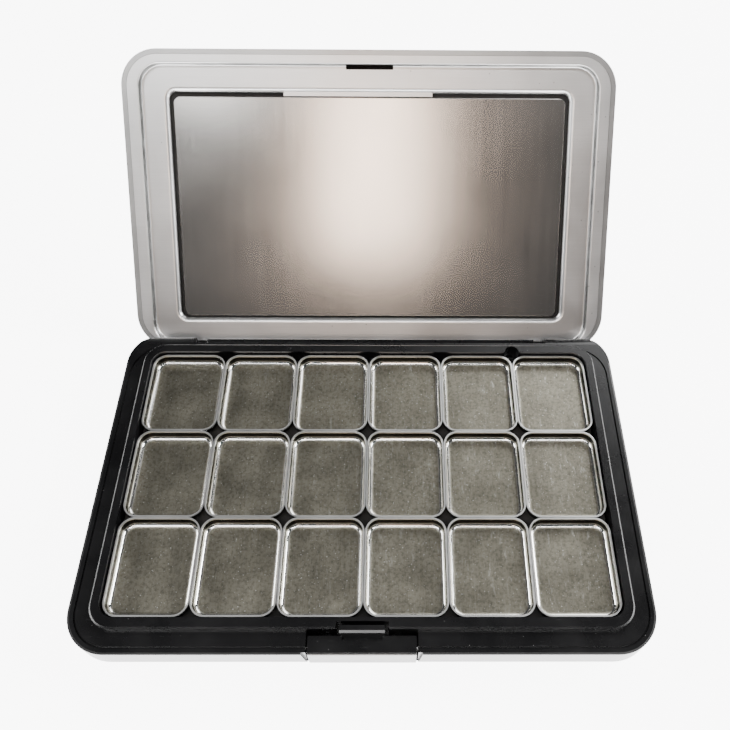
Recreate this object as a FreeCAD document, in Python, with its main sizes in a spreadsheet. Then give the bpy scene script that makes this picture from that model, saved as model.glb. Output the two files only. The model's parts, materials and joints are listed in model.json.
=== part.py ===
"""Watercolour pan set: a shallow case with eighteen metal pans and a hinged lid.

Origin: centre of the base's underside, on the table. +X is to the right, +Y is
towards the hinge, +Z is up. The lid is drawn closed and then turned open about
the hinge line, which is how the set is shown and how it rests.
"""
import FreeCAD, Part
import Sketcher
import math
import os

from FreeCAD import Placement, Rotation, Vector

document = FreeCAD.newDocument("PanSet")

# Driving dimensions in millimetres and degrees. Heights are above the table.
DIMENSIONS = {
    # base outline
    "case_half_width": 54.1,
    "case_half_depth": 35.2,
    "case_corner": 8.0,
    "skin": 0.4,
    "bottom_edge": 2.0,
    "shell_back": 27.2,
    "ledge_height": 7.1,
    # black frame
    "groove_inset": 1.1,
    "groove_width": 0.35,
    "groove_depth": 0.4,
    "wall_half_width": 50.0,
    "wall_half_depth": 31.0,
    "wall_corner": 4.5,
    "wall_top": 8.5,
    "wall_bevel": 0.3,
    "cavity_half_width": 48.25,
    "cavity_half_depth": 29.0,
    "cavity_corner": 3.0,
    "cavity_floor": 3.9,
    "finger_notch": 1.6,
    "finger_notch_across": 32.0,
    # pans on their magnetic sheet
    "sheet_thickness": 1.0,
    "sheet_gap": 0.25,
    "pan_pitch_across": 16.0,
    "pan_pitch_deep": 19.15,
    "pan_gap": 0.1,
    "pan_height": 2.6,
    "pan_wall": 0.3,
    "pan_corner": 2.9,
    "pan_bottom_edge": 1.5,
    # hinge
    "hinge_y": 32.1,
    "hinge_z": 4.0,
    "spine_radius": 3.1,
    "spine_foot": 2.0,
    "barrel_radius": 1.5,
    "barrel_half_length": 38.6,
    "hinge_gap_half_width": 40.2,
    "pin_radius": 0.6,
    "pin_inner": 34.0,
    "pin_outer": 44.0,
    "pin_fit": 0.05,
    "lid_opening_angle": 132.0,
    "bar_flange": 0.8,
    # latch
    "button_half_width": 9.85,
    "opening_half_width": 10.15,
    "ear_half_width": 10.95,
    "button_front": 34.8,
    "button_back": 31.9,
    "button_bottom": 0.7,
    "button_top": 7.05,
    "ear_room_front": 33.6,
    "ear_room_top": 5.8,
    "hook_half_width": 4.1,
    "hook_post_front": 31.1,
    "hook_post_back": 30.5,
    "hook_tip": 31.75,
    "hook_top": 8.9,
    "hook_roof": 1.1,
    "hook_room_bottom": 4.2,
    "spring_across": 6.5,
    "spring_height": 3.6,
    "spring_mean_radius": 0.9,
    "spring_wire": 0.3,
    "spring_turns": 5.0,
    "spring_front": 33.5,
    "spring_back": 29.75,
    # lid, as it lies closed
    "lid_bottom": 7.25,
    "lid_top": 11.9,
    "lid_front": 34.4,
    "lid_back": 32.2,
    "lid_edge": 4.1,
    "hem_width": 1.1,
    "hem_height": 0.8,
    "lid_skin": 0.45,
    "recess_half_width": 50.4,
    "recess_front": 31.35,
    "recess_back": 31.2,
    "recess_corner": 4.9,
    "inner_flat": 9.2,
    "window_half_width": 44.5,
    "window_front": 25.6,
    "window_back": 25.35,
    "window_corner": 1.7,
    "window_roll": 1.1,
    "slot_half_width": 5.2,
    "slot_front": 31.25,
    "slot_back": 30.45,
    "stop_left": 19.1,
    "stop_right": 13.9,
    # mixing plate
    "plate_half_width": 43.75,
    "plate_front": 24.65,
    "plate_back": 24.95,
    "plate_corner": 1.4,
    "plate_face": 10.05,
    "plate_thickness": 0.8,
    "plate_bevel": 0.2,
    "pad_half_width": 46.0,
    "pad_front": 29.8,
    "pad_back": 26.3,
    "tongue_half_width": 6.5,
    "tongue_front": 31.5,
    "tongue_thickness": 0.25,
}

COLUMNS = 6
ROWS = 3

sheet = document.addObject("Spreadsheet::Sheet", "Sizes")
for row, (alias, number) in enumerate(DIMENSIONS.items(), start=1):
    sheet.set(f"A{row}", alias.replace("_", " "))
    sheet.set(f"B{row}", str(number))
    sheet.setAlias(f"B{row}", alias)
document.recompute()


def size(expression):
    """The number that an expression of the sheet's aliases gives."""
    return float(sheet.evalExpression(expression))


def bound(expression):
    """The same expression, written for an object outside the sheet."""
    words = []
    for word in expression.replace("(", "( ").replace(")", " )").split():
        words.append(f"Sizes.{word}" if word in DIMENSIONS else word)
    return " ".join(words)


def new_body(label):
    """An empty body whose label names the sub-part's file."""
    body = document.addObject("PartDesign::Body", label)
    body.Label = label
    return body


def new_sketch(body, name, role, offset):
    """A sketch on one of the body's own planes, moved along its normal."""
    plane = next(item for item in body.Origin.OriginFeatures if item.Role == role)
    sketch = body.newObject("Sketcher::SketchObject", name)
    sketch.AttachmentSupport = [(plane, "")]
    sketch.MapMode = "FlatFace"
    sketch.setExpression(".AttachmentOffset.Base.z", bound(offset))
    return sketch


def drive(sketch, kind, references, expression):
    """A distance or radius that follows the sheet; its sign comes from the order."""
    index = sketch.addConstraint(Sketcher.Constraint(kind, *references, size(expression)))
    sketch.setExpression(f"Constraints[{index}]", bound(expression))


def place_line(sketch, axis, line, expression):
    """Keep a line's start at a signed distance from the sketch's origin."""
    kind = "DistanceX" if axis == "across" else "DistanceY"
    if size(expression) >= 0:
        drive(sketch, kind, (-1, 1, line, 1), expression)
    else:
        drive(sketch, kind, (line, 1, -1, 1), f"-1 * ( {expression} )")


def rounded_outline(sketch, left, right, front, back, corner):
    """A fully constrained rounded rectangle between four signed positions."""
    x0, x1, y0, y1, r = (size(text) for text in (left, right, front, back, corner))
    quarter = math.pi / 2
    centres = ((x0 + r, y0 + r, 2), (x1 - r, y0 + r, 3), (x1 - r, y1 - r, 0), (x0 + r, y1 - r, 1))
    arcs = []
    for x, y, turn in centres:
        circle = Part.Circle(Vector(x, y, 0), Vector(0, 0, 1), r)
        arc = Part.ArcOfCircle(circle, turn * quarter, (turn + 1) * quarter)
        arcs.append(sketch.addGeometry(arc, False))
    corners = (
        (Vector(x0 + r, y0, 0), Vector(x1 - r, y0, 0)),
        (Vector(x1, y0 + r, 0), Vector(x1, y1 - r, 0)),
        (Vector(x1 - r, y1, 0), Vector(x0 + r, y1, 0)),
        (Vector(x0, y1 - r, 0), Vector(x0, y0 + r, 0)),
    )
    sides = [sketch.addGeometry(Part.LineSegment(*ends), False) for ends in corners]
    for number in range(4):
        following = (number + 1) % 4
        sketch.addConstraint(Sketcher.Constraint("Tangent", arcs[number], 2, sides[number], 1))
        sketch.addConstraint(Sketcher.Constraint("Tangent", sides[number], 2, arcs[following], 1))
    for number in (1, 2, 3):
        sketch.addConstraint(Sketcher.Constraint("Equal", arcs[0], arcs[number]))
    for number in (0, 2):
        sketch.addConstraint(Sketcher.Constraint("Horizontal", sides[number]))
    for number in (1, 3):
        sketch.addConstraint(Sketcher.Constraint("Vertical", sides[number]))
    drive(sketch, "Radius", (arcs[0],), corner)
    place_line(sketch, "deep", sides[0], front)
    place_line(sketch, "across", sides[1], right)
    place_line(sketch, "deep", sides[2], back)
    place_line(sketch, "across", sides[3], left)


def corner_outline(sketch, points):
    """A closed outline of straight lines through (across, deep) expressions."""
    places = [Vector(size(across), size(deep), 0) for across, deep in points]
    lines = []
    for number, start in enumerate(places):
        end = places[(number + 1) % len(places)]
        lines.append(sketch.addGeometry(Part.LineSegment(start, end), False))
    for number, line in enumerate(lines):
        following = lines[(number + 1) % len(lines)]
        sketch.addConstraint(Sketcher.Constraint("Coincident", line, 2, following, 1))
    for line, (across, deep) in zip(lines, points):
        place_line(sketch, "across", line, across)
        place_line(sketch, "deep", line, deep)


def box_outline(sketch, left, right, front, back):
    """A plain rectangle between four signed positions."""
    corner_outline(sketch, [(left, front), (right, front), (right, back), (left, back)])


def raise_sketch(body, sketch, length, upward=True):
    """Pad a sketch along its plane's normal, or against it."""
    pad = body.newObject("PartDesign::Pad", sketch.Name + "Pad")
    pad.Profile = sketch
    pad.Reversed = not upward
    pad.setExpression("Length", bound(length))
    document.recompute()
    return pad


def cut_sketch(body, sketch, length, upward=True, both_ways=False):
    """Pocket a sketch along its plane's normal, and make sure that it cuts."""
    before = body.Shape.Volume
    pocket = body.newObject("PartDesign::Pocket", sketch.Name + "Pocket")
    pocket.Profile = sketch
    pocket.Reversed = upward
    if both_ways:
        pocket.SideType = "Symmetric"
    pocket.setExpression("Length", bound(length))
    document.recompute()
    if body.Shape.Volume >= before - 1e-6:
        raise RuntimeError(f"{sketch.Name} cuts nothing from {body.Label}")
    return pocket


def chosen_edges(shape, wanted):
    """Names of the edges whose middle point passes a test."""
    names = []
    for number, edge in enumerate(shape.Edges, start=1):
        middle = edge.valueAt((edge.FirstParameter + edge.LastParameter) / 2)
        if wanted(edge, middle):
            names.append(f"Edge{number}")
    return names


def dress_edges(body, kind, base, radius, wanted):
    """Fillet or chamfer the edges of a feature that pass a test."""
    dress = body.newObject(f"PartDesign::{kind}", f"{body.Name}{kind}")
    dress.Base = (base, chosen_edges(base.Shape, wanted))
    dress.setExpression("Radius" if kind == "Fillet" else "Size", bound(radius))
    document.recompute()
    return dress


def flat_at(height):
    """A test for edges that lie level at one height."""
    return lambda edge, middle: (
        abs(edge.BoundBox.ZMin - height) < 1e-4 and abs(edge.BoundBox.ZMax - height) < 1e-4
    )


def thin_out(body, base, wall, height):
    """Turn a feature into a tray of one wall thickness, open at one height."""
    for number, face in enumerate(base.Shape.Faces, start=1):
        box = face.BoundBox
        if abs(box.ZMin - height) < 1e-4 and abs(box.ZMax - height) < 1e-4:
            open_face = f"Face{number}"
    tray = body.newObject("PartDesign::Thickness", f"{body.Name}Thickness")
    tray.Base = (base, [open_face])
    tray.Reversed = True
    tray.setExpression("Value", bound(wall))
    document.recompute()
    return tray


def slab(body, name, outline, bottom, top):
    """Pad a rounded outline from one height up to another."""
    sketch = new_sketch(body, name, "XY_Plane", bottom)
    rounded_outline(sketch, *outline)
    return raise_sketch(body, sketch, f"{top} - ( {bottom} )")


def hollow(body, name, outline, bottom, top):
    """Cut a rounded outline from one height up to another."""
    sketch = new_sketch(body, name, "XY_Plane", bottom)
    rounded_outline(sketch, *outline)
    return cut_sketch(body, sketch, f"{top} - ( {bottom} )")


def ring(body, name, outer, inner, bottom, top):
    """Pad the space between two rounded outlines."""
    sketch = new_sketch(body, name, "XY_Plane", bottom)
    rounded_outline(sketch, *outer)
    rounded_outline(sketch, *inner)
    return raise_sketch(body, sketch, f"{top} - ( {bottom} )")


def box_cut(body, name, left, right, front, back, bottom, top):
    """Cut a plain box from one height up to another."""
    sketch = new_sketch(body, name, "XY_Plane", bottom)
    box_outline(sketch, left, right, front, back)
    return cut_sketch(body, sketch, f"{top} - ( {bottom} )")


def box_pad(body, name, left, right, front, back, bottom, top):
    """Add a plain box from one height up to another."""
    sketch = new_sketch(body, name, "XY_Plane", bottom)
    box_outline(sketch, left, right, front, back)
    return raise_sketch(body, sketch, f"{top} - ( {bottom} )")


def centred(half_width, half_depth, corner):
    """The outline that lies evenly about the origin."""
    return (f"-1 * ( {half_width} )", half_width, f"-1 * ( {half_depth} )", half_depth, corner)


def make_base_shell():
    """Thin silver tray around the bottom, the front and the sides of the base."""
    body = new_body("base_shell")
    block = slab(
        body, "ShellOutside", centred("case_half_width", "case_half_depth", "case_corner"),
        "0", "ledge_height",
    )
    block = dress_edges(body, "Fillet", block, "bottom_edge", flat_at(0))
    thin_out(body, block, "skin", size("ledge_height"))
    box_cut(
        body, "ShellBack", "-1 * ( case_half_width + 1 )", "case_half_width + 1",
        "shell_back", "case_half_depth + 1", "-1", "ledge_height + 1",
    )
    sketch = new_sketch(body, "LatchWindow", "XZ_Plane", "case_half_depth + 1")
    corner_outline(sketch, [
        ("-1 * opening_half_width", "button_bottom"),
        ("opening_half_width", "button_bottom"),
        ("opening_half_width + skin * 2.2", "ledge_height + 1"),
        ("-1 * ( opening_half_width + skin * 2.2 )", "ledge_height + 1"),
    ])
    cut_sketch(body, sketch, "3", upward=False)
    return body


def spine_profile(sketch):
    """Everything outside the rounded back edge, seen from the side."""
    y, z, r = size("hinge_y"), size("hinge_z"), size("spine_radius")
    foot = size("spine_foot")
    drop = z - foot
    low_angle = -math.asin(drop / r)
    reach = y + r * math.cos(low_angle)
    top = Part.ArcOfCircle(Part.Circle(Vector(y, z, 0), Vector(0, 0, 1), r), low_angle, math.pi / 2)
    low = Part.ArcOfCircle(
        Part.Circle(Vector(reach - foot, foot, 0), Vector(0, 0, 1), foot), -math.pi / 2, 0,
    )
    upper = sketch.addGeometry(top, False)
    lower = sketch.addGeometry(low, False)
    far = y + 8
    path = (
        Vector(y, z + r, 0), Vector(y, z + r + 2, 0), Vector(far, z + r + 2, 0),
        Vector(far, -1, 0), Vector(reach - foot, -1, 0), Vector(reach - foot, 0, 0),
    )
    lines = [
        sketch.addGeometry(Part.LineSegment(path[number], path[number + 1]), False)
        for number in range(len(path) - 1)
    ]
    joins = [(upper, 2, lines[0], 1)]
    joins += [(lines[number], 2, lines[number + 1], 1) for number in range(len(lines) - 1)]
    joins += [(lines[-1], 2, lower, 1), (lower, 2, upper, 1)]
    for join in joins:
        sketch.addConstraint(Sketcher.Constraint("Coincident", *join))
    for line in (lines[1], lines[3]):
        sketch.addConstraint(Sketcher.Constraint("Horizontal", line))
    for line in (lines[0], lines[2], lines[4]):
        sketch.addConstraint(Sketcher.Constraint("Vertical", line))
    drive(sketch, "DistanceX", (-1, 1, upper, 3), "hinge_y")
    drive(sketch, "DistanceY", (-1, 1, upper, 3), "hinge_z")
    drive(sketch, "Radius", (upper,), "spine_radius")
    drive(sketch, "Radius", (lower,), "spine_foot")
    drive(sketch, "DistanceY", (-1, 1, lower, 3), "spine_foot")
    drive(sketch, "DistanceY", (-1, 1, lower, 2), "spine_foot")
    sketch.addConstraint(Sketcher.Constraint("Vertical", upper, 2, upper, 3))
    sketch.addConstraint(Sketcher.Constraint("Vertical", lower, 1, lower, 3))
    drive(sketch, "DistanceY", (-1, 1, lines[1], 1), "hinge_z + spine_radius + 2")
    drive(sketch, "DistanceX", (-1, 1, lines[2], 1), "hinge_y + 8")
    drive(sketch, "DistanceY", (lines[3], 1, -1, 1), "1")


def hinge_gap_profile(sketch):
    """The space behind the frame where the lid's hinge bar turns, from the side."""
    y, z = size("hinge_y"), size("hinge_z")
    room = size("barrel_radius + 0.3")
    front_face, low_face = y + 0.25, y - 0.7
    start = math.acos(0.25 / room)
    end = 2 * math.pi - math.acos(-0.7 / room)
    circle = Part.Circle(Vector(y, z, 0), Vector(0, 0, 1), room)
    bore = sketch.addGeometry(Part.ArcOfCircle(circle, start, end), False)
    high = z + room * math.sin(start)
    low = z + room * math.sin(end)
    path = (
        Vector(low_face, low, 0), Vector(low_face, -1, 0), Vector(y + 8, -1, 0),
        Vector(y + 8, z + 6, 0), Vector(front_face, z + 6, 0), Vector(front_face, high, 0),
    )
    lines = [
        sketch.addGeometry(Part.LineSegment(path[number], path[number + 1]), False)
        for number in range(len(path) - 1)
    ]
    joins = [(bore, 2, lines[0], 1)]
    joins += [(lines[number], 2, lines[number + 1], 1) for number in range(len(lines) - 1)]
    joins += [(lines[-1], 2, bore, 1)]
    for join in joins:
        sketch.addConstraint(Sketcher.Constraint("Coincident", *join))
    for line in (lines[1], lines[3]):
        sketch.addConstraint(Sketcher.Constraint("Horizontal", line))
    for line in (lines[0], lines[2], lines[4]):
        sketch.addConstraint(Sketcher.Constraint("Vertical", line))
    drive(sketch, "DistanceX", (-1, 1, bore, 3), "hinge_y")
    drive(sketch, "DistanceY", (-1, 1, bore, 3), "hinge_z")
    drive(sketch, "Radius", (bore,), "barrel_radius + 0.3")
    drive(sketch, "DistanceX", (-1, 1, lines[0], 1), "hinge_y - 0.7")
    drive(sketch, "DistanceY", (lines[1], 1, -1, 1), "1")
    drive(sketch, "DistanceX", (-1, 1, lines[2], 1), "hinge_y + 8")
    drive(sketch, "DistanceY", (-1, 1, lines[3], 1), "hinge_z + 6")
    drive(sketch, "DistanceX", (-1, 1, lines[4], 1), "hinge_y + 0.25")


def round_cut(body, name, role, offset, across, up, radius, length, upward):
    """Cut one round hole along a plane's normal."""
    sketch = new_sketch(body, name, role, offset)
    circle = Part.Circle(Vector(size(across), size(up), 0), Vector(0, 0, 1), size(radius))
    hole = sketch.addGeometry(circle, False)
    drive(sketch, "Radius", (hole,), radius)
    if size(across) >= 0:
        drive(sketch, "DistanceX", (-1, 1, hole, 3), across)
    else:
        drive(sketch, "DistanceX", (hole, 3, -1, 1), f"-1 * ( {across} )")
    drive(sketch, "DistanceY", (-1, 1, hole, 3), up)
    return cut_sketch(body, sketch, length, upward=upward)


def cut_groove(body):
    """The thin line that runs along the ledge in front of the spine."""
    sketch = new_sketch(body, "LedgeGroove", "XY_Plane", "ledge_height - groove_depth")
    outer = "case_half_width - groove_inset"
    inner = "case_half_width - groove_inset - groove_width"
    deep = "case_half_depth - groove_inset"
    deep_inner = "case_half_depth - groove_inset - groove_width"
    rounded_outline(
        sketch, f"-1 * ( {outer} )", outer, f"-1 * ( {deep} )", "hinge_y - 1",
        "case_corner - groove_inset",
    )
    rounded_outline(
        sketch, f"-1 * ( {inner} )", inner, f"-1 * ( {deep_inner} )",
        "hinge_y - 1 - groove_width", "case_corner - groove_inset - groove_width",
    )
    cut_sketch(body, sketch, "groove_depth + 0.5")


def make_base_frame():
    """Black frame: ledge, raised inner wall, pan cavity, rounded spine at the back."""
    body = new_body("base_frame")
    back = "case_half_depth - shell_back"
    rear = slab(
        body, "RearBlock",
        ("-1 * case_half_width", "case_half_width", f"case_half_depth - 2 * ( {back} ) - 1",
         "case_half_depth", "case_half_depth - shell_back"),
        "0", "ledge_height",
    )
    dress_edges(body, "Fillet", rear, "bottom_edge", flat_at(0))
    box_cut(
        body, "RearOnly", "-1 * ( case_half_width + 1 )", "case_half_width + 1",
        "0", "shell_back", "-1", "ledge_height + 1",
    )
    slab(
        body, "FrameBlock",
        centred("case_half_width - skin", "case_half_depth - skin", "case_corner - skin"),
        "bottom_edge", "ledge_height",
    )
    slab(
        body, "FrameFoot",
        centred(
            "case_half_width - bottom_edge", "case_half_depth - bottom_edge",
            "case_corner - bottom_edge",
        ),
        "skin", "bottom_edge",
    )
    cut_groove(body)
    wall = slab(
        body, "InnerWall", centred("wall_half_width", "wall_half_depth", "wall_corner"),
        "ledge_height", "wall_top",
    )
    dress_edges(body, "Chamfer", wall, "wall_bevel", flat_at(size("wall_top")))
    hollow(
        body, "PanCavity", centred("cavity_half_width", "cavity_half_depth", "cavity_corner"),
        "cavity_floor", "wall_top + 1",
    )
    cut_frame_latch(body)
    cut_frame_hinge(body)
    round_cut(
        body, "FingerNotch", "XY_Plane", "cavity_floor", "finger_notch_across",
        "cavity_half_depth", "finger_notch", "wall_top", True,
    )
    return body


def cut_frame_latch(body):
    """Opening for the button, its ears, its springs and the hook behind it."""
    box_cut(
        body, "ButtonOpening", "-1 * opening_half_width", "opening_half_width",
        "-1 * ( case_half_depth + 1 )", "-1 * wall_half_depth", "-1", "ledge_height + 1",
    )
    box_cut(
        body, "EarRoom", "-1 * ( ear_half_width + 0.3 )", "ear_half_width + 0.3",
        "-1 * ear_room_front", "-1 * wall_half_depth", "-1", "ear_room_top",
    )
    box_cut(
        body, "HookRoom", "-1 * ( hook_half_width + 0.7 )", "hook_half_width + 0.7",
        "-1 * ( wall_half_depth + 0.5 )", "-1 * ( cavity_half_depth + 0.7 )",
        "hook_room_bottom", "wall_top + 1",
    )
    for side, name in ((-1, "LeftSpringRoom"), (1, "RightSpringRoom")):
        round_cut(
            body, name, "XZ_Plane", "wall_half_depth + 0.5", f"{side} * spring_across",
            "spring_height", "spring_mean_radius + 0.35", "wall_half_depth + 0.5 - spring_back",
            False,
        )


def cut_frame_hinge(body):
    """Round the spine, open the gap for the hinge bar and bore the pin holes."""
    sketch = new_sketch(body, "SpineRounding", "YZ_Plane", "0")
    spine_profile(sketch)
    cut_sketch(body, sketch, "2 * case_half_width + 4", both_ways=True)
    sketch = new_sketch(body, "HingeGap", "YZ_Plane", "0")
    hinge_gap_profile(sketch)
    cut_sketch(body, sketch, "2 * hinge_gap_half_width", both_ways=True)
    for side, name in ((-1, "LeftPinBore"), (1, "RightPinBore")):
        round_cut(
            body, name, "YZ_Plane", f"{side} * ( hinge_gap_half_width - 1 )", "hinge_y", "hinge_z",
            "pin_radius + pin_fit", "pin_outer - hinge_gap_half_width + 1.8", side > 0,
        )


def make_magnetic_sheet():
    """Thin sheet on the cavity's floor that holds the pans."""
    body = new_body("magnetic_sheet")
    slab(
        body, "Sheet",
        centred(
            "cavity_half_width - sheet_gap", "cavity_half_depth - sheet_gap",
            "cavity_corner - sheet_gap",
        ),
        "cavity_floor", "cavity_floor + sheet_thickness",
    )
    return body


def make_pan(row, column):
    """One pressed metal pan, placed by its row from the back and its column."""
    body = new_body(f"pan_r{row}c{column}")
    half_width = "( pan_pitch_across - pan_gap ) / 2"
    half_depth = "( pan_pitch_deep - pan_gap ) / 2"
    outside = slab(
        body, "PanOutside", centred(half_width, half_depth, "pan_corner"), "0", "pan_height",
    )
    outside = dress_edges(body, "Fillet", outside, "pan_bottom_edge", flat_at(0))
    thin_out(body, outside, "pan_wall", size("pan_height"))
    across = f"pan_pitch_across * ( {column} - {(COLUMNS + 1) / 2} )"
    deep = f"pan_pitch_deep * ( {(ROWS + 1) / 2} - {row} )"
    body.setExpression(".Placement.Base.x", bound(across))
    body.setExpression(".Placement.Base.y", bound(deep))
    body.setExpression(".Placement.Base.z", bound("cavity_floor + sheet_thickness"))
    document.recompute()
    return body


def make_latch_button():
    """Black push button with its ears and the hook that holds the lid."""
    body = new_body("latch_button")
    box_pad(
        body, "ButtonBlock", "-1 * button_half_width", "button_half_width",
        "-1 * button_front", "-1 * button_back", "button_bottom", "button_top",
    )
    box_pad(
        body, "ButtonEars", "-1 * ear_half_width", "ear_half_width",
        "-33.5", "-1 * button_back", "1.5", "5.5",
    )
    box_cut(
        body, "HookRecess", "-1 * ( hook_half_width - 0.4 )", "hook_half_width - 0.4",
        "-1 * ( button_back + 0.8 )", "-1 * button_back + 1", "5.6", "button_top + 1",
    )
    box_pad(
        body, "HookBridge", "-1 * hook_half_width", "hook_half_width",
        "-1 * ( button_back + 0.5 )", "-1 * hook_post_back", "4.5", "5.6",
    )
    box_pad(
        body, "HookPost", "-1 * hook_half_width", "hook_half_width",
        "-1 * hook_post_front", "-1 * hook_post_back", "4.5", "hook_top",
    )
    sketch = new_sketch(body, "HookNose", "YZ_Plane", "0")
    corner_outline(sketch, [
        ("-1 * hook_tip", "hook_top - hook_roof"),
        ("-1 * hook_post_back", "hook_top - hook_roof"),
        ("-1 * hook_post_back", "hook_top"),
        ("-1 * hook_tip + 0.35", "hook_top"),
        ("-1 * hook_tip", "hook_top - 0.5"),
    ])
    nose = raise_sketch(body, sketch, "2 * hook_half_width")
    nose.SideType = "Symmetric"
    document.recompute()
    for side, name in ((-1, "LeftSpringSeat"), (1, "RightSpringSeat")):
        round_cut(
            body, name, "XZ_Plane", "button_back - 0.5", f"{side} * spring_across",
            "spring_height", "spring_mean_radius + 0.35", "spring_front - button_back + 0.5", True,
        )
    return body


def make_latch_face():
    """Silver plate on the front of the button, flush with the shell."""
    body = new_body("latch_face")
    sketch = new_sketch(body, "FacePlate", "XZ_Plane", "button_front")
    box_outline(
        sketch, "-1 * button_half_width", "button_half_width", "button_bottom + 0.3",
        "button_top - 0.15",
    )
    plate = raise_sketch(body, sketch, "skin")
    dress_edges(
        body, "Fillet", plate, "0.2",
        lambda edge, middle: middle.y < -1 * size("button_front + skin / 2"),
    )
    return body


def make_latch_spring():
    """The two small coils that push the button forward, as one sub-part."""
    radius, wire = size("spring_mean_radius"), size("spring_wire")
    front, back = -size("spring_front"), -size("spring_back")
    length = back - front - wire
    coils = []
    for side in (-1, 1):
        helix = Part.makeHelix(length / size("spring_turns"), length, radius)
        section = Part.makePolygon([
            Vector(radius + wire / 2 * math.cos(step * math.pi / 4), 0,
                   wire / 2 * math.sin(step * math.pi / 4))
            for step in range(9)
        ])
        coil = Part.Wire(helix).makePipeShell([section], True, True)
        coil.Placement = Placement(
            Vector(side * size("spring_across"), front + wire / 2, size("spring_height")),
            Rotation(Vector(1, 0, 0), -90),
        )
        coils.append(coil)
    spring = document.addObject("Part::Feature", "latch_spring")
    spring.Label = "latch_spring"
    spring.Shape = Part.makeCompound(coils)
    return spring


def lid_placement():
    """Turn a sub-part that is drawn closed about the hinge line until it is open."""
    line = Vector(0, size("hinge_y"), size("hinge_z"))
    return Placement(Vector(0, 0, 0), Rotation(Vector(1, 0, 0), -size("lid_opening_angle")), line)


def make_hinge_pins():
    """Two steel pins, each half in the hinge bar and half in the spine."""
    pins = []
    for side, name in ((-1, "LeftPin"), (1, "RightPin")):
        pin = document.addObject("Part::Cylinder", name)
        pin.setExpression("Radius", bound("pin_radius"))
        pin.setExpression("Height", bound("pin_outer - pin_inner"))
        start = "pin_inner" if side > 0 else "-1 * pin_outer"
        pin.setExpression(".Placement.Base.x", bound(start))
        pin.setExpression(".Placement.Base.y", bound("hinge_y"))
        pin.setExpression(".Placement.Base.z", bound("hinge_z"))
        pin.Placement = Placement(pin.Placement.Base, Rotation(Vector(0, 1, 0), 90))
        pins.append(pin)
    pair = document.addObject("Part::Compound", "hinge_pins")
    pair.Label = "hinge_pins"
    pair.Links = pins
    document.recompute()
    return pair


def make_hinge_bar():
    """Black bar on the lid: barrel on the hinge line, web, and a lip on the lid's flat."""
    body = new_body("hinge_bar")
    sketch = new_sketch(body, "Barrel", "YZ_Plane", "0")
    circle = Part.Circle(Vector(size("hinge_y"), size("hinge_z"), 0), Vector(0, 0, 1), 1.0)
    ring = sketch.addGeometry(circle, False)
    drive(sketch, "Radius", (ring,), "barrel_radius")
    drive(sketch, "DistanceX", (-1, 1, ring, 3), "hinge_y")
    drive(sketch, "DistanceY", (-1, 1, ring, 3), "hinge_z")
    barrel = raise_sketch(body, sketch, "2 * barrel_half_length")
    barrel.SideType = "Symmetric"
    document.recompute()
    sketch = new_sketch(body, "Web", "YZ_Plane", "0")
    corner_outline(sketch, [
        ("hinge_y + 0.5", "hinge_z + 0.2"),
        ("hinge_y + 1.3", "hinge_z + 0.2"),
        ("hinge_y + 1.3", "lid_bottom + 0.8"),
        ("lid_back - 0.3", "lid_bottom + 0.8"),
        ("lid_back - 0.3", "inner_flat"),
        ("recess_back - bar_flange", "inner_flat"),
        ("recess_back - bar_flange", "inner_flat - 0.35"),
        ("recess_back + 0.05", "inner_flat - 0.35"),
        ("recess_back + 0.05", "lid_bottom + 0.05"),
        ("hinge_y + 0.5", "lid_bottom + 0.05"),
    ])
    web = raise_sketch(body, sketch, "2 * barrel_half_length")
    web.SideType = "Symmetric"
    document.recompute()
    for side, name in ((-1, "LeftPinHole"), (1, "RightPinHole")):
        round_cut(
            body, name, "YZ_Plane", f"{side} * ( barrel_half_length + 1 )", "hinge_y", "hinge_z",
            "pin_radius", "barrel_half_length + 1 - pin_inner", side < 0,
        )
    body.Placement = lid_placement()
    return body


def lid_outline(inset):
    """The lid's outline, moved inwards by an amount."""
    side = f"case_half_width - ( {inset} )"
    return (
        f"-1 * ( {side} )", side, f"-1 * ( lid_front - ( {inset} ) )",
        f"lid_back - ( {inset} )", f"case_corner - ( {inset} )",
    )


def make_lid_shell():
    """Silver outer tray of the lid with a narrow hem around its rim."""
    body = new_body("lid_shell")
    block = slab(body, "LidOutside", lid_outline("0"), "lid_bottom", "lid_top")
    block = dress_edges(body, "Fillet", block, "lid_edge", flat_at(size("lid_top")))
    thin_out(body, block, "lid_skin", size("lid_bottom"))
    side = "case_half_width - hem_width"
    hem_inside = (
        f"-1 * ( {side} )", side, "-1 * ( lid_front - hem_width )", "recess_back",
        "case_corner - hem_width",
    )
    ring(
        body, "Hem", lid_outline("lid_skin / 2"), hem_inside, "lid_bottom",
        "lid_bottom + hem_height",
    )
    box_cut(
        body, "HingeBarRoom", "-1 * ( barrel_half_length + 0.1 )", "barrel_half_length + 0.1",
        "recess_back - 1", "lid_back + 1", "lid_bottom - 1", "inner_flat",
    )
    body.Placement = lid_placement()
    return body


def on_outline(name, height):
    """A test for the level edges that bound the recess or the window at one height."""
    level = flat_at(size(height))
    half_width = size(f"{name}_half_width") + 0.01
    front = -size(f"{name}_front") - 0.01
    back = size(f"{name}_back") + 0.01
    return lambda edge, middle: (
        level(edge, middle) and abs(middle.x) < half_width and front < middle.y < back
    )


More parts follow.
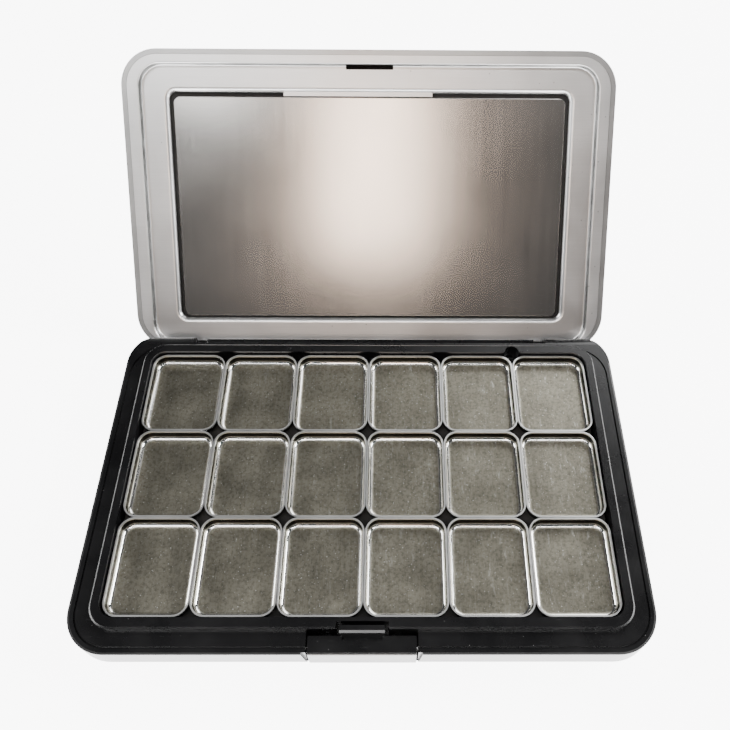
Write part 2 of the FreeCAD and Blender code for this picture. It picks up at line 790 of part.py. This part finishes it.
def make_lid_liner():
    """Silver inner sheet: flange, step, inner flat, rolled window, plate stop, latch slot."""
    body = new_body("lid_liner")
    side = "case_half_width - hem_width - 0.05"
    front = "lid_front - hem_width - 0.05"
    slab(
        body, "Flange",
        (f"-1 * ( {side} )", side, f"-1 * ( {front} )", "recess_back - 0.05",
         "case_corner - hem_width - 0.05"),
        "lid_bottom + 0.05", "lid_bottom + 0.05 + lid_skin",
    )
    slab(
        body, "RecessOutside",
        ("-1 * ( recess_half_width + lid_skin )", "recess_half_width + lid_skin",
         "-1 * ( recess_front + lid_skin )", "recess_back + lid_skin", "recess_corner + lid_skin"),
        "lid_bottom + 0.05", "inner_flat + lid_skin",
    )
    recess = hollow(
        body, "RecessInside",
        ("-1 * recess_half_width", "recess_half_width", "-1 * recess_front", "recess_back",
         "recess_corner"),
        "lid_bottom - 1", "inner_flat",
    )
    bends = dress_edges(body, "Fillet", recess, "0.4", on_outline("recess", "inner_flat"))
    dress_edges(body, "Fillet", bends, "0.35", on_outline("recess", "lid_bottom + 0.05"))
    box_cut(
        body, "BackTrim", "-1 * case_half_width", "case_half_width", "recess_back - 0.4",
        "recess_back + 2", "lid_bottom - 1", "lid_top",
    )
    slab(
        body, "WindowRim",
        ("-1 * ( window_half_width + window_roll )", "window_half_width + window_roll",
         "-1 * ( window_front + window_roll )", "window_back + window_roll",
         "window_corner + window_roll"),
        "inner_flat", "inner_flat + window_roll",
    )
    window = hollow(
        body, "Window",
        ("-1 * window_half_width", "window_half_width", "-1 * window_front", "window_back",
         "window_corner"),
        "inner_flat - 1", "lid_top",
    )
    dress_edges(body, "Fillet", window, "window_roll - 0.05", on_outline("window", "inner_flat"))
    box_cut(
        body, "LatchSlot", "-1 * slot_half_width", "slot_half_width",
        "-1 * slot_front", "-1 * slot_back", "lid_bottom - 1", "lid_top",
    )
    box_cut(
        body, "HookClearance", "-1 * slot_half_width", "slot_half_width",
        "-1 * ( recess_front + lid_skin + 1 )", "-1 * slot_front",
        "lid_bottom + 0.05 + lid_skin", "lid_top",
    )
    box_pad(
        body, "PlateStop", "-1 * stop_left", "stop_right", "-1 * window_front - 0.5",
        "-1 * plate_front - 0.2", "inner_flat + 0.45", "inner_flat + window_roll",
    )
    body.Placement = lid_placement()
    return body


def make_mixing_plate():
    """Flat metal plate with a small bevel that lies in the lid's window."""
    body = new_body("mixing_plate")
    plate = slab(
        body, "Plate",
        ("-1 * plate_half_width", "plate_half_width", "-1 * plate_front", "plate_back",
         "plate_corner"),
        "plate_face", "plate_face + plate_thickness",
    )
    dress_edges(body, "Chamfer", plate, "plate_bevel", flat_at(size("plate_face")))
    body.Placement = lid_placement()
    return body


def make_plate_pad():
    """Black magnetic backing behind the whole window, with a tongue behind the slot."""
    body = new_body("plate_pad")
    slab(
        body, "Pad",
        ("-1 * pad_half_width", "pad_half_width", "-1 * pad_front", "pad_back",
         "plate_corner"),
        "plate_face + plate_thickness", "lid_top - lid_skin",
    )
    box_pad(
        body, "SlotTongue", "-1 * tongue_half_width", "tongue_half_width",
        "-1 * tongue_front", "-1 * pad_front + 1", "plate_face + plate_thickness",
        "plate_face + plate_thickness + tongue_thickness",
    )
    body.Placement = lid_placement()
    return body


def check_document(parts):
    """Stop if any object failed or any sub-part has no sound shape."""
    for item in document.Objects:
        for state in item.State:
            if state in ("Invalid", "Error"):
                raise RuntimeError(f"{item.Name} is {state}")
    for part in parts:
        if part.Shape.isNull() or not part.Shape.isValid():
            raise RuntimeError(f"{part.Label} has no valid shape")


def main():
    """Build every sub-part, check them all and write one file for each."""
    parts = [make_base_shell(), make_base_frame(), make_magnetic_sheet()]
    for row in range(1, ROWS + 1):
        for column in range(1, COLUMNS + 1):
            parts.append(make_pan(row, column))
    parts += [make_latch_button(), make_latch_face(), make_latch_spring()]
    parts += [make_hinge_pins(), make_hinge_bar()]
    parts += [make_lid_shell(), make_lid_liner(), make_mixing_plate(), make_plate_pad()]
    document.recompute()
    check_document(parts)
    os.makedirs("parts", exist_ok=True)
    for part in parts:
        part.Shape.exportStep(f"parts/{part.Label}.step")
        solids = len(part.Shape.Solids)
        print(f"{part.Label}: {solids} solid(s), {part.Shape.Volume:.2f} mm3")


main()
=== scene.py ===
"""Looks for the watercolour pan set: materials, camera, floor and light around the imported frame."""

import json
import math

import bpy
from mathutils import Matrix, Vector


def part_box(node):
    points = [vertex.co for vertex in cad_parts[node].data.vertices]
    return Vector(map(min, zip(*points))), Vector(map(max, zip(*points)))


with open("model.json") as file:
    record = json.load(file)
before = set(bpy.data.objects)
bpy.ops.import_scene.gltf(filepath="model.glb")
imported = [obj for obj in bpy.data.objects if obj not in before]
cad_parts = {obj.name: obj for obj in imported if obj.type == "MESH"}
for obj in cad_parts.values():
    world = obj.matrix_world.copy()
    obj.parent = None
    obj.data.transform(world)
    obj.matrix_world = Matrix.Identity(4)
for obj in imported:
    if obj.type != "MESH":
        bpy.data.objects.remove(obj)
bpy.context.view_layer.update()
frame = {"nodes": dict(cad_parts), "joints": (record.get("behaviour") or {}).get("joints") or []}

MM = 0.001

# Ranges of values: where most of a noise texture lies, and two plain ramps.
NOISE_RANGE = (0.3, 0.7)
RISING = (0.0, 1.0)
FALLING = (1.0, 0.0)
SPECK_CORE = 0.6  # share of a spot's size inside which it has its full strength

# Sizes on the set, in millimetres.
PAN_SHEET = 0.3  # thickness of a pan's metal
FLOOR_FADE = (0.03, 0.22)  # heights above a pan's floor where its satin turns to polish
BEND_FADE = (0.5, 0.7)  # heights above a pan's floor where the painted dark band on its walls begins
RIM_FADE = (0.45, 0.35)  # depths below a pan's rim where that painted dark band ends
PRESS_STEP = 0.95  # height of one wave of relief on a pan's wall
RIM_ROUNDING = 0.11  # width of the bevel on a pan's sharp edges
STEP_HEIGHTS = (7.35, 9.15)  # where the lid liner steps in, with the lid closed
STEP_FADE = 0.15  # height over which the painted shade in that step fades

# Tones of the silver sheets: the darker and the lighter end of each. The base's and the lid shell's
# tones are painted shade: the liner's silver, darkened so that it gives back less of the glowing floor.
SHADED_BASE_TONES = (0.15, 0.19)
SHADED_LID_TONES = (0.42, 0.50)
LINER_TONES = (0.74, 0.84)
WORN_SHARE = 0.88  # tone of brushed streaks, against the darker end
MARK_SHARE = 0.8  # tone of small marks, against the streaks

BEVEL_SEGMENTS = 3
SHARP_ANGLE = math.radians(40)

FLOOR_REACH = 3.0  # metres
FLOOR_GLOW = 7.5
SKY_COLOUR = (0.97, 0.98, 1.0, 1.0)
SKY_STRENGTH = 0.07
WARM_WHITE = (1.0, 0.78, 0.63)

# The camera: its place in millimetres from the middle of the set and the rims of the pans,
# its angles in degrees, and its lens.
CAMERA_RIGHT, CAMERA_BACK, CAMERA_UP = 5.7, -68.8, 145.9
CAMERA_YAW = -0.87
CAMERA_DOWN = 54.8
CAMERA_ROLL = 0.89
CAMERA_SENSOR = 36.0
CAMERA_LENS = 38.44
CAMERA_SHIFT = (-0.050, -0.040)
CAMERA_NEAREST = 0.01  # metres

# Places and sizes worked out from the frame, in metres.
PAN_NAMES = sorted(name for name in frame["nodes"] if name.startswith("pan_"))
PAN_BOXES = {name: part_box(name) for name in PAN_NAMES}
PAN_FLOOR = min(low[2] for low, high in PAN_BOXES.values()) + PAN_SHEET * MM
PAN_RIM = max(high[2] for low, high in PAN_BOXES.values())
GRID_LEFT = min(low[0] for low, high in PAN_BOXES.values())
GRID_RIGHT = max(high[0] for low, high in PAN_BOXES.values())

# How far the lid stands open, in radians, and the place of its hinge in millimetres.
LID_HINGE = next(joint for joint in frame["joints"] if joint["name"] == "lid_hinge")
LID_ANGLE = -math.radians(min(LID_HINGE["range_deg"]))
HINGE_PLACE = Vector(LID_HINGE["pos_m"]) / MM


class Look:
    """A material under construction: its node tree and its surface shader."""

    def __init__(self, name, metallic):
        self.material = bpy.data.materials.new(name)
        self.material.use_nodes = True
        self.nodes = self.material.node_tree.nodes
        self.links = self.material.node_tree.links
        self.shader = self.nodes["Principled BSDF"]
        self.shader.inputs["Metallic"].default_value = metallic
        self.height = None

    @classmethod
    def again(cls, material):
        """Take up a finished material to add to it."""
        look = cls.__new__(cls)
        look.material = material
        look.nodes = material.node_tree.nodes
        look.links = material.node_tree.links
        look.shader = look.nodes["Principled BSDF"]
        look.height = look.shader.inputs["Normal"].links[0].from_socket
        return look

    def coordinates(self, stretch=(1.0, 1.0, 1.0), turn=0.0):
        """Object coordinates in millimetres, turned about X and stretched."""
        source = self.nodes.new("ShaderNodeTexCoord")
        turned = self.nodes.new("ShaderNodeMapping")
        turned.inputs["Rotation"].default_value = (turn, 0.0, 0.0)
        turned.inputs["Scale"].default_value = (1 / MM, 1 / MM, 1 / MM)
        self.links.new(source.outputs["Object"], turned.inputs["Vector"])
        scaled = self.nodes.new("ShaderNodeMapping")
        scaled.inputs["Scale"].default_value = stretch
        self.links.new(turned.outputs["Vector"], scaled.inputs["Vector"])
        return scaled.outputs["Vector"]

    def noise(self, vector, scale, detail=4.0, roughness=0.55):
        """Soft cloudy value, mostly inside NOISE_RANGE."""
        node = self.nodes.new("ShaderNodeTexNoise")
        node.inputs["Scale"].default_value = scale
        node.inputs["Detail"].default_value = detail
        node.inputs["Roughness"].default_value = roughness
        self.links.new(vector, node.inputs["Vector"])
        return node.outputs["Fac"]

    def specks(self, vector, scale, size):
        """Small round spots: 1 in the middle of a spot, fading to 0 at its edge and elsewhere."""
        core = size * SPECK_CORE
        node = self.nodes.new("ShaderNodeTexVoronoi")
        node.inputs["Scale"].default_value = scale
        self.links.new(vector, node.inputs["Vector"])
        return self.span(node.outputs["Distance"], source=(size, core))

    def span(self, value, source=NOISE_RANGE, target=RISING):
        """Map a value from one range to another, held at both ends."""
        node = self.nodes.new("ShaderNodeMapRange")
        node.inputs["From Min"].default_value = source[0]
        node.inputs["From Max"].default_value = source[1]
        node.inputs["To Min"].default_value = target[0]
        node.inputs["To Max"].default_value = target[1]
        self.links.new(value, node.inputs["Value"])
        return node.outputs["Result"]

    def combine(self, operation, first, second=0.0):
        """One mathematical step on one or two values, each a socket or a number."""
        node = self.nodes.new("ShaderNodeMath")
        node.operation = operation
        for socket, value in zip(node.inputs, (first, second)):
            if isinstance(value, (int, float)):
                socket.default_value = value
            else:
                self.links.new(value, socket)
        return node.outputs["Value"]

    def mix(self, factor, first, second):
        """A value that goes from one to the other as the factor rises."""
        node = self.nodes.new("ShaderNodeMix")
        self.links.new(factor, node.inputs["Factor"])
        self.links.new(first, node.inputs["A"])
        self.links.new(second, node.inputs["B"])
        return node.outputs["Result"]

    def blend(self, factor, first, second):
        """A colour that goes from one to the other as the factor rises."""
        node = self.nodes.new("ShaderNodeMix")
        node.data_type = "RGBA"
        self.links.new(factor, node.inputs["Factor"])
        for name, value in (("A", first), ("B", second)):
            socket = next(item for item in node.inputs if item.name == name and item.type == "RGBA")
            if isinstance(value, tuple):
                socket.default_value = (*value, 1.0)
            else:
                self.links.new(value, socket)
        return next(item for item in node.outputs if item.type == "RGBA")

    def part(self, vector, axis):
        """One coordinate of a vector."""
        node = self.nodes.new("ShaderNodeSeparateXYZ")
        self.links.new(vector, node.inputs["Vector"])
        return node.outputs[axis]

    def colour(self, socket):
        """Drive the surface colour."""
        self.links.new(socket, self.shader.inputs["Base Color"])

    def roughness(self, socket):
        """Drive the surface roughness."""
        self.links.new(socket, self.shader.inputs["Roughness"])

    def bump(self, socket, depth):
        """Add surface relief of a depth in millimetres on top of earlier relief."""
        node = self.nodes.new("ShaderNodeBump")
        node.inputs["Strength"].default_value = 1.0
        node.inputs["Distance"].default_value = depth * MM
        self.links.new(socket, node.inputs["Height"])
        if self.height is not None:
            self.links.new(self.height, node.inputs["Normal"])
        self.height = node.outputs["Normal"]
        self.links.new(self.height, self.shader.inputs["Normal"])


def grey(tone):
    """A neutral colour."""
    return (tone, tone, tone)


def silver_look(name, turn, dark, light):
    """Satin anodised sheet: fine grain, faint long brushing and small handling marks."""
    look = Look(name, metallic=1.0)
    plain = look.coordinates(turn=turn)
    brushed = look.coordinates(stretch=(0.05, 4.0, 4.0), turn=turn)
    clouds = look.noise(plain, scale=0.06, detail=3.0)
    grain = look.noise(plain, scale=7.0, detail=2.0)
    strokes = look.noise(brushed, scale=1.2, detail=5.0, roughness=0.65)
    specks = look.specks(plain, scale=0.35, size=0.07)
    worn = dark * WORN_SHARE
    marked = worn * MARK_SHARE
    tone = look.blend(look.span(clouds), grey(dark), grey(light))
    streaks = look.span(strokes, source=(0.35, 0.75), target=(0.0, 0.35))
    tone = look.blend(streaks, tone, grey(worn))
    look.colour(look.blend(specks, tone, grey(marked)))
    fine_rough = look.span(grain, target=(0.28, 0.36))
    broad_rough = look.span(clouds, target=(0.0, 0.06))
    look.roughness(look.combine("ADD", fine_rough, broad_rough))
    look.bump(grain, depth=0.006)
    look.bump(strokes, depth=0.003)
    return look.material


def liner_look():
    """The lid's inner sheet: bright silver with a patchy grey band of painted shade in the step."""
    material = silver_look("lid_inner_silver", LID_ANGLE, *LINER_TONES)
    look = Look.again(material)
    turned_hinge = math.sin(LID_ANGLE) * HINGE_PLACE.y + math.cos(LID_ANGLE) * HINGE_PLACE.z
    turned = look.part(look.coordinates(turn=LID_ANGLE), "Z")
    height = look.combine("ADD", turned, HINGE_PLACE.z - turned_hinge)
    # Painted shade: a patchy grey band darkens the liner in its recess step, where shade falls.
    low, high = STEP_HEIGHTS
    above = look.span(height, source=(low, low + STEP_FADE))
    below = look.span(height, source=(high - STEP_FADE, high), target=FALLING)
    clouds = look.noise(look.coordinates(turn=LID_ANGLE), scale=0.25)
    patchy = look.span(clouds, source=(0.35, 0.6), target=(0.7, 1.0))
    step_shade = look.combine("MULTIPLY", look.combine("MULTIPLY", above, below), patchy)
    unshaded = look.shader.inputs["Base Color"].links[0].from_socket
    step_shade_grey = (0.15, 0.15, 0.145)
    look.colour(look.blend(step_shade, unshaded, step_shade_grey))
    return material


def black_look():
    """Moulded black plastic with a fine satin texture, dust and faint scuffs."""
    look = Look("black_plastic", metallic=0.0)
    deep = (0.0035, 0.0035, 0.004)
    faded = (0.007, 0.007, 0.0075)
    scuffed = (0.016, 0.016, 0.017)
    dusty = grey(0.16)
    plain = look.coordinates()
    streaky = look.coordinates(stretch=(0.3, 2.5, 1.0))
    clouds = look.noise(plain, scale=0.12)
    grain = look.noise(plain, scale=9.0, detail=2.0)
    dust = look.specks(plain, scale=0.55, size=0.05)
    rubbing = look.noise(streaky, scale=0.9, detail=6.0, roughness=0.7)
    scuffs = look.span(rubbing, source=(0.62, 0.8))
    tone = look.blend(look.span(clouds), deep, faded)
    tone = look.blend(scuffs, tone, scuffed)
    look.colour(look.blend(dust, tone, dusty))
    broad_rough = look.span(clouds, target=(0.24, 0.32))
    scuff_rough = look.combine("MULTIPLY", scuffs, 0.12)
    look.roughness(look.combine("ADD", broad_rough, scuff_rough))
    look.bump(grain, depth=0.008)
    return look.material


def pan_floor_colour(look, plain, clouds, strokes):
    """Satin metal with brushing, dull patches, bright specks, and scratches that grow to the right; the
    scratches are wear, their growth to the right is a painted highlight.
    """
    dull = (0.25, 0.234, 0.18)
    clear = (0.35, 0.33, 0.26)
    brushed = (0.44, 0.42, 0.36)
    stained = (0.10, 0.096, 0.078)
    scratched = (0.72, 0.70, 0.63)
    speckled = (0.95, 0.94, 0.90)
    across = look.span(look.part(plain, "X"), source=(GRID_LEFT / MM, GRID_RIGHT / MM))
    large_specks = look.specks(plain, scale=0.9, size=0.10)
    small_specks = look.specks(plain, scale=1.7, size=0.11)
    mottle = look.noise(plain, scale=1.6, detail=6.0, roughness=0.75)
    lengthwise = look.coordinates(stretch=(0.9, 0.25, 1.0))
    scoring = look.noise(lengthwise, scale=0.8, detail=8.0, roughness=0.8)
    # Painted highlight: the bright scratches thicken towards the right and brighten the floors there;
    # the scratches themselves are wear.
    wear_and_sheen_to_right = look.span(across, source=(0.2, 1.0), target=(0.2, 1.0))
    scratches = look.combine("MULTIPLY", look.span(scoring, source=(0.58, 0.68)), wear_and_sheen_to_right)
    satin = look.blend(look.span(clouds), dull, clear)
    satin = look.blend(look.span(strokes, target=(0.0, 0.5)), satin, brushed)
    stains = look.span(mottle, source=(0.45, 0.7), target=(0.0, 0.75))
    satin = look.blend(stains, satin, stained)
    satin = look.blend(scratches, satin, scratched)
    return look.blend(look.combine("MAXIMUM", large_specks, small_specks), satin, speckled)


def pan_wall_colour(look, height, below_rim):
    """Polished metal with a painted dark band between the bend and the rim: painted shade for the dark
    surroundings that the walls mirror.
    """
    polished = (0.97, 0.97, 0.95)
    # Painted reflection: a dark band on the walls stands in for the dark surroundings they mirror.
    painted_dark_reflection = (0.06, 0.059, 0.054)
    low, high = BEND_FADE
    above_bend = look.span(height, source=(PAN_FLOOR / MM + low, PAN_FLOOR / MM + high))
    return look.blend(look.combine("MULTIPLY", below_rim, above_bend), polished, painted_dark_reflection)


def pan_look():
    """Pressed bright metal: a worn satin floor, and polished walls with relief and a painted dark
    reflection band.
    """
    look = Look("pan_metal", metallic=1.0)
    plain = look.coordinates()
    height = look.part(plain, "Z")
    low, high = FLOOR_FADE
    floor = look.span(height, source=(PAN_FLOOR / MM + low, PAN_FLOOR / MM + high), target=FALLING)
    deeper, shallower = RIM_FADE
    rim_range = (PAN_RIM / MM - deeper, PAN_RIM / MM - shallower)
    below_rim = look.span(height, source=rim_range, target=FALLING)
    brushed = look.coordinates(stretch=(3.0, 0.12, 1.0))
    strokes = look.noise(brushed, scale=1.6, detail=6.0, roughness=0.7)
    grain = look.noise(plain, scale=6.0, detail=3.0)
    clouds = look.noise(plain, scale=0.16, detail=3.0)
    satin = pan_floor_colour(look, plain, clouds, strokes)
    walls_with_painted_band = pan_wall_colour(look, height, below_rim)
    look.colour(look.blend(floor, walls_with_painted_band, satin))
    fine_rough = look.span(grain, target=(0.34, 0.46))
    floor_rough = look.combine("ADD", fine_rough, look.span(clouds, target=(-0.03, 0.03)))
    rim_rough = look.span(below_rim, source=RISING, target=(0.32, 0.0))
    wall_rough = look.combine("ADD", look.span(clouds, target=(0.03, 0.08)), rim_rough)
    look.roughness(look.mix(floor, wall_rough, floor_rough))
    look.bump(look.combine("MULTIPLY", strokes, floor), depth=0.012)
    look.bump(clouds, depth=0.08)
    waves = look.combine("SINE", look.combine("MULTIPLY", height, math.tau / PRESS_STEP))
    wall = look.combine("SUBTRACT", 1.0, floor)
    look.bump(look.combine("MULTIPLY", waves, wall), depth=0.035)
    return look.material


def plate_look():
    """Smooth rolled sheet with faint streaks and a soft sheen."""
    look = Look("plate_metal", metallic=1.0)
    dull = (0.635, 0.622, 0.60)
    clear = (0.66, 0.647, 0.625)
    marked = (0.5, 0.49, 0.47)
    plain = look.coordinates(turn=LID_ANGLE)
    rolled = look.coordinates(stretch=(1.6, 0.04, 1.0), turn=LID_ANGLE)
    streaks = look.noise(rolled, scale=0.9, detail=6.0, roughness=0.7)
    clouds = look.noise(plain, scale=0.05, detail=3.0)
    grain = look.noise(plain, scale=8.0, detail=2.0)
    specks = look.specks(plain, scale=0.3, size=0.05)
    tone = look.blend(look.span(streaks), dull, clear)
    look.colour(look.blend(specks, tone, marked))
    streak_rough = look.span(streaks, target=(0.165, 0.185))
    broad_rough = look.span(clouds, target=(0.0, 0.03))
    look.roughness(look.combine("ADD", streak_rough, broad_rough))
    look.bump(grain, depth=0.0006)
    return look.material


def rubber_look():
    """Dark magnetic sheet with a fine dull grain."""
    look = Look("magnet_rubber", metallic=0.0)
    dark = (0.014, 0.013, 0.012)
    dusty = (0.03, 0.028, 0.026)
    plain = look.coordinates()
    grain = look.noise(plain, scale=4.0, detail=6.0, roughness=0.7)
    clouds = look.noise(plain, scale=0.2, detail=3.0)
    look.colour(look.blend(look.span(clouds), dark, dusty))
    look.roughness(look.span(grain, target=(0.7, 0.95)))
    look.bump(grain, depth=0.03)
    return look.material


def spring_look():
    """Drawn steel wire and pins."""
    look = Look("drawn_steel", metallic=1.0)
    dull = (0.5, 0.5, 0.51)
    bright = (0.66, 0.66, 0.67)
    grain = look.noise(look.coordinates(), scale=5.0)
    look.colour(look.blend(look.span(grain), dull, bright))
    look.roughness(look.span(grain, target=(0.2, 0.34)))
    look.bump(grain, depth=0.004)
    return look.material


def floor_look():
    """Plain pale tabletop, lit from within like a photographer's light table."""
    look = Look("tabletop", metallic=0.0)
    grain = look.noise(look.coordinates(), scale=0.5, detail=3.0)
    look.roughness(look.span(grain, target=(0.55, 0.7)))
    look.shader.inputs["Base Color"].default_value = (*grey(0.9), 1.0)
    look.shader.inputs["Emission Color"].default_value = (*grey(1.0), 1.0)
    look.shader.inputs["Emission Strength"].default_value = FLOOR_GLOW
    return look.material


def dress(names, material):
    """Give CAD nodes a material."""
    for name in names:
        node = frame["nodes"][name]
        if not node.material_slots:
            node.data.materials.append(material)
        for slot in node.material_slots:
            slot.material = material


def round_rims(names):
    """Round the sharp pressed edges a little, as a die leaves them."""
    for name in names:
        bevel = frame["nodes"][name].modifiers.new("rounded edges", "BEVEL")
        bevel.width = RIM_ROUNDING * MM
        bevel.segments = BEVEL_SEGMENTS
        bevel.limit_method = "ANGLE"
        bevel.angle_limit = SHARP_ANGLE


def add_floor():
    """A wide pale tabletop under the set."""
    mesh = bpy.data.meshes.new("tabletop")
    reach = FLOOR_REACH
    corners = [(-reach, -reach, 0), (reach, -reach, 0), (reach, reach, 0), (-reach, reach, 0)]
    mesh.from_pydata(corners, [], [(0, 1, 2, 3)])
    floor = bpy.data.objects.new("tabletop", mesh)
    bpy.context.scene.collection.objects.link(floor)
    mesh.materials.append(floor_look())


def add_softbox(name, place, aim, width, height, power, colour=(1.0, 1.0, 1.0)):
    """A rectangular soft light that faces a point."""
    light = bpy.data.lights.new(name, "AREA")
    light.shape = "RECTANGLE"
    light.size = width
    light.size_y = height
    light.energy = power
    light.color = colour
    lamp = bpy.data.objects.new(name, light)
    lamp.location = place
    lamp.rotation_euler = (Vector(aim) - Vector(place)).to_track_quat("-Z", "Y").to_euler()
    bpy.context.scene.collection.objects.link(lamp)


def add_lights():
    """Two keys at the sides, one lamp behind the set and three in front of it."""
    base = (0, 0, 0)
    lid = (0, 0.06, 0.03)
    add_softbox("key_left", (-1.0, 0.15, 0.5), base, width=0.5, height=0.3, power=8.0)
    add_softbox("key_right", (1.0, 0.15, 0.5), base, width=0.5, height=0.3, power=14.0)
    add_softbox("overhead", (0.38, 0.66, 0.60), base, width=0.5, height=0.4, power=4.0)
    add_softbox("strip", (0.0, -0.24, 0.80), base, width=1.1, height=0.04, power=3.6)
    add_softbox(
        "front_warm", (-0.015, -0.35, 0.405), lid, width=0.09, height=0.18, power=0.42, colour=WARM_WHITE
    )
    add_softbox("front_top", (-0.34, -0.42, 0.80), lid, width=0.4, height=0.25, power=1.6)


def add_world():
    """Even dim surroundings, so that the softboxes shape the metal."""
    world = bpy.data.worlds.new("studio")
    world.use_nodes = True
    background = world.node_tree.nodes["Background"]
    background.inputs["Color"].default_value = SKY_COLOUR
    background.inputs["Strength"].default_value = SKY_STRENGTH
    bpy.context.scene.world = world


def add_camera():
    """A close camera above and in front of the set, looking down across the pans."""
    camera = bpy.data.cameras.new("camera")
    camera.sensor_width = CAMERA_SENSOR
    camera.lens = CAMERA_LENS
    camera.shift_x, camera.shift_y = CAMERA_SHIFT
    camera.clip_start = CAMERA_NEAREST
    viewer = bpy.data.objects.new("camera", camera)
    viewer.location = (CAMERA_RIGHT * MM, CAMERA_BACK * MM, PAN_RIM + CAMERA_UP * MM)
    yaw = Matrix.Rotation(math.radians(CAMERA_YAW), 4, "Z")
    pitch = Matrix.Rotation(math.radians(90 - CAMERA_DOWN), 4, "X")
    roll = Matrix.Rotation(math.radians(CAMERA_ROLL), 4, "Z")
    viewer.rotation_euler = (yaw @ pitch @ roll).to_euler()
    bpy.context.scene.collection.objects.link(viewer)
    bpy.context.scene.camera = viewer


def main():
    """Dress the frame and set the stage."""
    # Painted shade: the base and the lid shell wear darkened tones of the same silver as the liner.
    dress(["base_shell", "latch_face"], silver_look("base_silver_shaded", 0.0, *SHADED_BASE_TONES))
    dress(["lid_shell"], silver_look("lid_outer_silver_shaded", LID_ANGLE, *SHADED_LID_TONES))
    dress(["lid_liner"], liner_look())
    dress(["base_frame", "latch_button", "hinge_bar"], black_look())
    dress(PAN_NAMES, pan_look())
    round_rims(PAN_NAMES)
    dress(["mixing_plate"], plate_look())
    dress(["magnetic_sheet", "plate_pad"], rubber_look())
    dress(["latch_spring", "hinge_pins"], spring_look())
    add_floor()
    add_world()
    add_lights()
    add_camera()


main()
